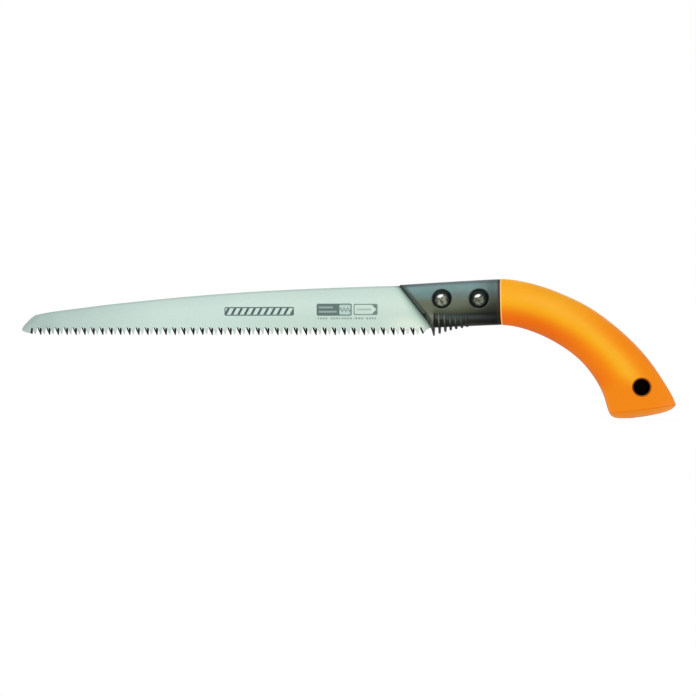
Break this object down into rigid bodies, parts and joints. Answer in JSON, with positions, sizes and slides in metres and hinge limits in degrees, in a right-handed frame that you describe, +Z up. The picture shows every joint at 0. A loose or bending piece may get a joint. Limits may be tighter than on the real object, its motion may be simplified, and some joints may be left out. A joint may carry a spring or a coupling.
{
  "type": "pruning saw",
  "caption": "Straight toothed blade clamped in a moulded collar with a comb finger guard, on a curved soft-moulded grip with a hang hole.",
  "frame": {"origin": "centre of the hang hole near the butt, on the blade's mid plane", "axes": "+X along the toothed edge from the blade tip to the butt, +Y towards the screw side, +Z up, spine up and teeth down"},
  "size_m": [0.5044, 0.0284, 0.1016],
  "materials": {
    "blade_steel": "satin, ground facets on the teeth",
    "core_moulding": "fine satin, glass-filled",
    "grip_rubber": "semi-gloss elastomer",
    "eyelet_plastic": "satin black",
    "nut_steel": "polished dome",
    "screw_steel": "satin zinc",
    "washer_steel": "satin zinc",
    "rivet_aluminium": "plain"
  },
  "bodies": {
    "saw": {"blade": "blade_steel", "core_left": "core_moulding", "core_right": "core_moulding", "grip": "grip_rubber", "hang_eyelet": "eyelet_plastic", "rivet_front": "rivet_aluminium", "rivet_rear": "rivet_aluminium"},
    "washer_front": {"washer_front": "washer_steel"},
    "screw_front": {"screw_front": "screw_steel"},
    "nut_front": {"nut_front": "nut_steel"},
    "washer_rear": {"washer_rear": "washer_steel"},
    "screw_rear": {"screw_rear": "screw_steel"},
    "nut_rear": {"nut_rear": "nut_steel"}
  },
  "joints": [
    {"name": "screw_front_lift", "type": "slide", "parent": "saw", "child": "washer_front", "axis": [0, 1, 0], "range_m": [0, 0.0064]},
    {"name": "screw_front_turn", "type": "hinge", "parent": "washer_front", "child": "screw_front", "pos_m": [-0.1435, 0, 0.0639], "axis": [0, -1, 0], "range_deg": [0, 2880.5]},
    {"name": "nut_front_slide", "type": "slide", "parent": "saw", "child": "nut_front", "axis": [0, -1, 0], "range_m": [0, 0.014]},
    {"name": "screw_rear_lift", "type": "slide", "parent": "saw", "child": "washer_rear", "axis": [0, 1, 0], "range_m": [0, 0.0064]},
    {"name": "screw_rear_turn", "type": "hinge", "parent": "washer_rear", "child": "screw_rear", "pos_m": [-0.1161, 0, 0.0639], "axis": [0, -1, 0], "range_deg": [0, 2880.5]},
    {"name": "nut_rear_slide", "type": "slide", "parent": "saw", "child": "nut_rear", "axis": [0, -1, 0], "range_m": [0, 0.014]}
  ],
  "couplings": [
    {"joint": "screw_front_turn", "follows": "screw_front_lift", "rad_per_m": 7854},
    {"joint": "screw_rear_turn", "follows": "screw_rear_lift", "rad_per_m": 7854}
  ]
}
